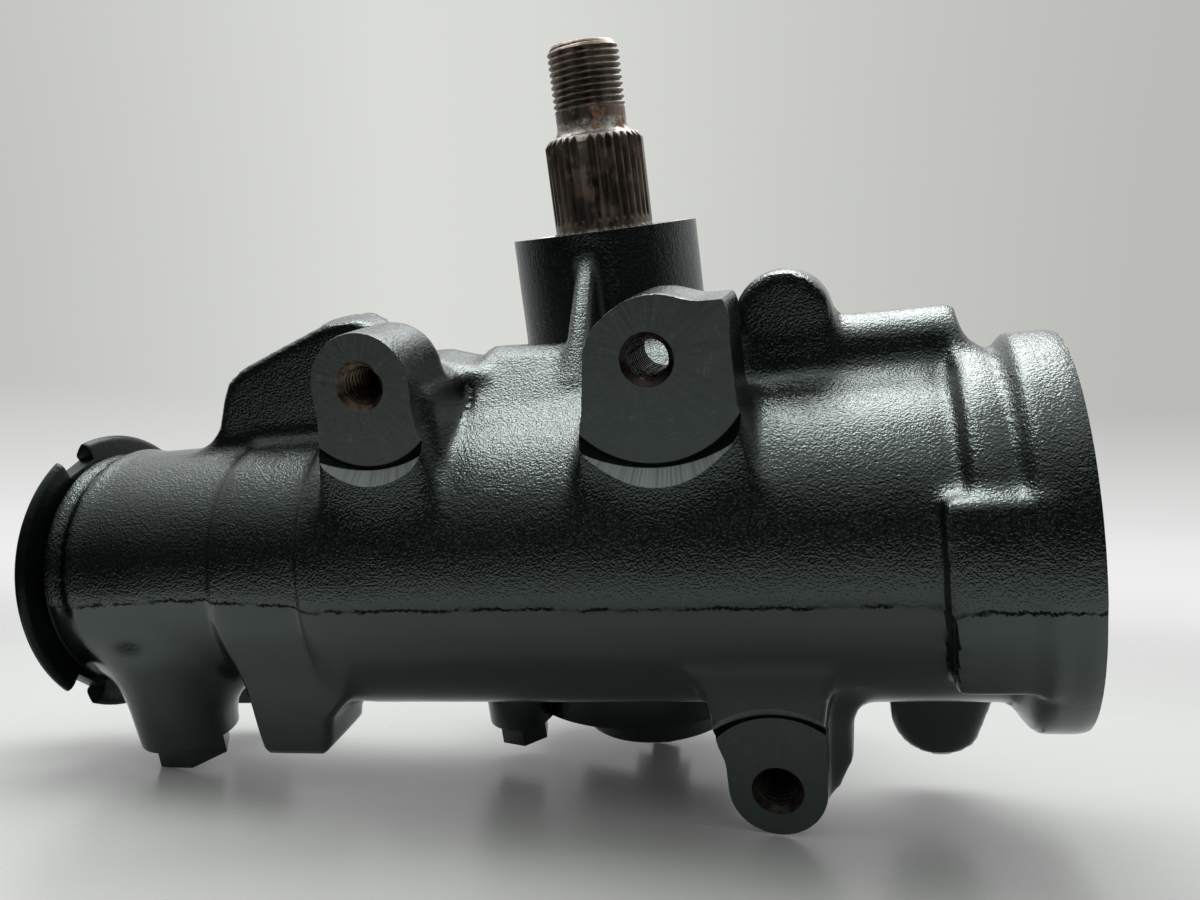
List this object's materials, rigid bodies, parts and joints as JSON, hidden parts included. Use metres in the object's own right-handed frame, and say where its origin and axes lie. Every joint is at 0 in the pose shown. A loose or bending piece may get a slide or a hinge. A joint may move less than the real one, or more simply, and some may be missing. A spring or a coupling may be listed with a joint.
{
  "type": "steering gearbox",
  "caption": "Recirculating-ball power steering gearbox: black cast housing with tapped mounting lugs, splined and threaded output shaft, ported input end and side cover.",
  "frame": {"origin": "first full thread of the middle tapped mounting hole, 1.3 mm inside the mounting plane", "axes": "+X along the worm axis towards the end plug, +Z along the output shaft towards its thread, +Y from the mounting plane into the gearbox"},
  "size_m": [0.31, 0.1544, 0.232],
  "materials": {
    "painted_casting": "semi-gloss black paint over a rough sand casting",
    "painted_steel": "semi-gloss black paint",
    "shaft_steel": "bare forged steel, dark and lightly rusted",
    "bright_steel": "ground steel, oiled",
    "bearing_bronze": "machined",
    "seal_rubber": "matte"
  },
  "bodies": {
    "gear_housing": {"housing": "painted_casting", "end_plug": "painted_steel", "end_plug_oring": "seal_rubber", "end_plug_ring": "painted_steel", "adjuster_plug": "painted_steel", "adjuster_lock_nut": "painted_steel", "adjuster_oring": "seal_rubber", "input_bearing": "bright_steel", "input_seal": "seal_rubber", "input_seal_ring": "bright_steel", "upper_thrust_bearing": "bright_steel", "lower_thrust_bearing": "bright_steel", "sector_bearing": "bright_steel", "sector_seals": "seal_rubber", "sector_seal_washer": "bright_steel", "sector_seal_ring": "bright_steel", "side_cover": "painted_casting", "cover_gasket": "seal_rubber", "cover_bushing": "bearing_bronze", "cover_bolts": "painted_steel", "lash_screw": "painted_steel", "lash_nut": "painted_steel", "port_plugs": "painted_steel", "port_seats": "bearing_bronze"},
    "sector": {"sector_shaft": "shaft_steel"},
    "rack": {"rack_piston": "bright_steel", "piston_ring": "seal_rubber", "rack_plug": "bright_steel", "balls": "bright_steel", "ball_guides": "bright_steel", "guide_clamp": "bright_steel", "clamp_screws": "bright_steel"},
    "worm_and_sleeve": {"worm": "bright_steel", "valve_sleeve": "bright_steel", "valve_rings": "seal_rubber"},
    "input": {"stub_shaft": "shaft_steel", "torsion_bar": "bright_steel", "valve_spool": "bright_steel"}
  },
  "joints": [
    {"name": "sector_turn", "type": "hinge", "parent": "gear_housing", "child": "sector", "pos_m": [-0.028, 0.0887, -0.0565], "axis": [0, 0, 1], "range_deg": [-42, 42]},
    {"name": "rack_slide", "type": "slide", "parent": "gear_housing", "child": "rack", "axis": [1, 0, 0], "range_m": [-0.0229, 0.0229]},
    {"name": "worm_turn", "type": "hinge", "parent": "gear_housing", "child": "worm_and_sleeve", "pos_m": [-0.028, 0.0317, -0.0565], "axis": [1, 0, 0], "range_deg": [-590, 590]},
    {"name": "valve_twist", "type": "hinge", "parent": "worm_and_sleeve", "child": "input", "pos_m": [-0.148, 0.0317, -0.0565], "axis": [1, 0, 0], "range_deg": [-4, 4], "stiffness_Nm_per_rad": 20}
  ],
  "couplings": [
    {"joint": "rack_slide", "follows": "sector_turn", "m_per_rad": 0.031},
    {"joint": "worm_turn", "follows": "sector_turn", "ratio": -14.013}
  ]
}
